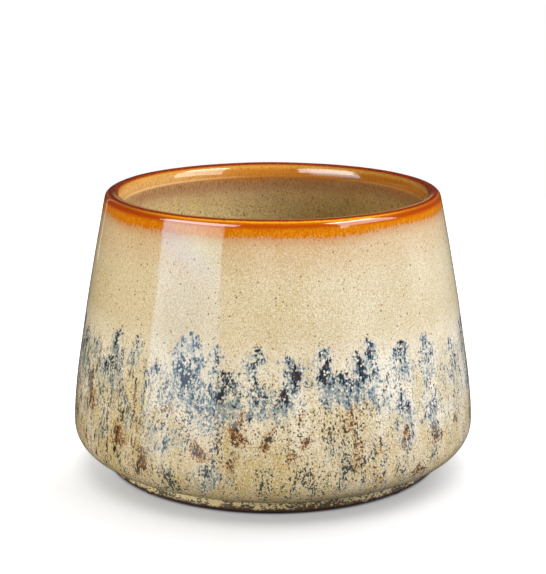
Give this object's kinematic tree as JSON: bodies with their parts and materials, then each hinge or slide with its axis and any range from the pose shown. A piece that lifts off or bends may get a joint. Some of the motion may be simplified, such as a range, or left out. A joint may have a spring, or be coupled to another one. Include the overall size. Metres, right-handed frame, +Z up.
{
  "type": "flower pot",
  "caption": "Round glazed stoneware flower pot, wide at the belly and leaning in to a rolled amber rim, on a low foot ring, with a lift-out drain plug and a loose drain mesh.",
  "frame": {"origin": "on the ground under the pot's axis, in the plane of the rubber feet's undersides", "axes": "+Z up along the pot's axis; -Y is the side that the picture shows; the feet stand on the diagonals between X and Y"},
  "size_m": [0.16, 0.16, 0.109],
  "materials": {
    "glaze": "glossy reactive glaze: amber rim, speckled cream wall, blue-black and rust mottling on the belly",
    "plug_silicone": "matt moulded silicone",
    "mesh_plastic": "matt moulded plastic",
    "pad_rubber": "matt self-adhesive rubber"
  },
  "bodies": {
    "pot": {"pot_body": "glaze", "foot_pad_1": "pad_rubber", "foot_pad_2": "pad_rubber", "foot_pad_3": "pad_rubber", "foot_pad_4": "pad_rubber"},
    "plug": {"drain_plug": "plug_silicone"},
    "mesh": {"drain_mesh": "mesh_plastic"}
  },
  "joints": [
    {"name": "plug_lift", "type": "slide", "parent": "pot", "child": "plug", "axis": [0, 0, 1], "range_m": [0, 0.115]},
    {"name": "mesh_lift", "type": "slide", "parent": "plug", "child": "mesh", "axis": [0, 0, 1], "range_m": [0, 0.105]}
  ]
}
